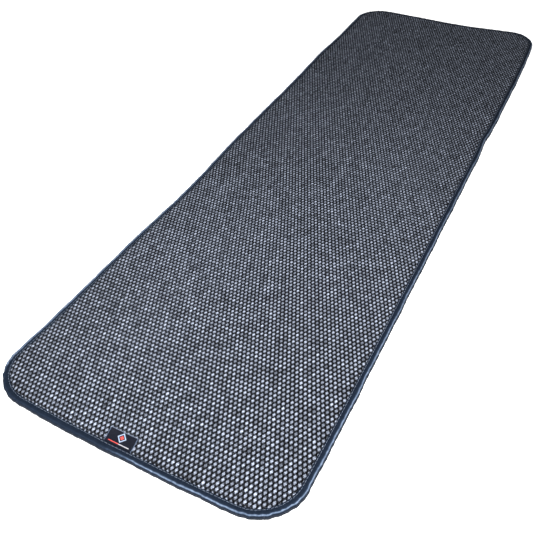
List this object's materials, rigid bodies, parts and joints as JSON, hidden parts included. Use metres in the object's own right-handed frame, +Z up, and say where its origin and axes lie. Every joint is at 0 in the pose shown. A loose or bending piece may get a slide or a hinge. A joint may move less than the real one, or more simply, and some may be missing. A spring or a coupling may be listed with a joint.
{
  "type": "ventilated spacer mesh mat",
  "caption": "Long flexible mat of open 3D spacer mesh with rounded corners, a folded satin binding sewn round its edge and a small woven label in the seam of one short edge.",
  "frame": {"origin": "under the middle of the mat, on the surface that it lies on", "axes": "+X across the mat's width, +Y along its length away from the labelled short edge, +Z up through its thickness"},
  "size_m": [0.5, 1.55, 0.0131],
  "materials": {
    "mesh_knit": "bright polyester knit, slate grey with a navy cast, open diamond net",
    "pile_yarn": "stiff dark monofilament yarn, slightly glossy",
    "binding_satin": "dark navy satin tape with a soft sheen",
    "sewing_thread": "twisted polyester sewing thread, dark navy",
    "label_weave": "tight damask label weave, dark navy"
  },
  "bodies": {
    "mat": {"top_mesh_face": "mesh_knit", "spacer_pile": "pile_yarn", "bottom_mesh_face": "mesh_knit", "edge_binding": "binding_satin", "needle_thread": "sewing_thread", "bobbin_thread": "sewing_thread", "label_tail": "label_weave"},
    "label": {"label_flap": "label_weave"}
  },
  "joints": [
    {"name": "label_lift", "type": "hinge", "parent": "mat", "child": "label", "pos_m": [-0.009, -0.7633, 0.0127], "axis": [1, 0, 0], "range_deg": [0, 170]}
  ]
}
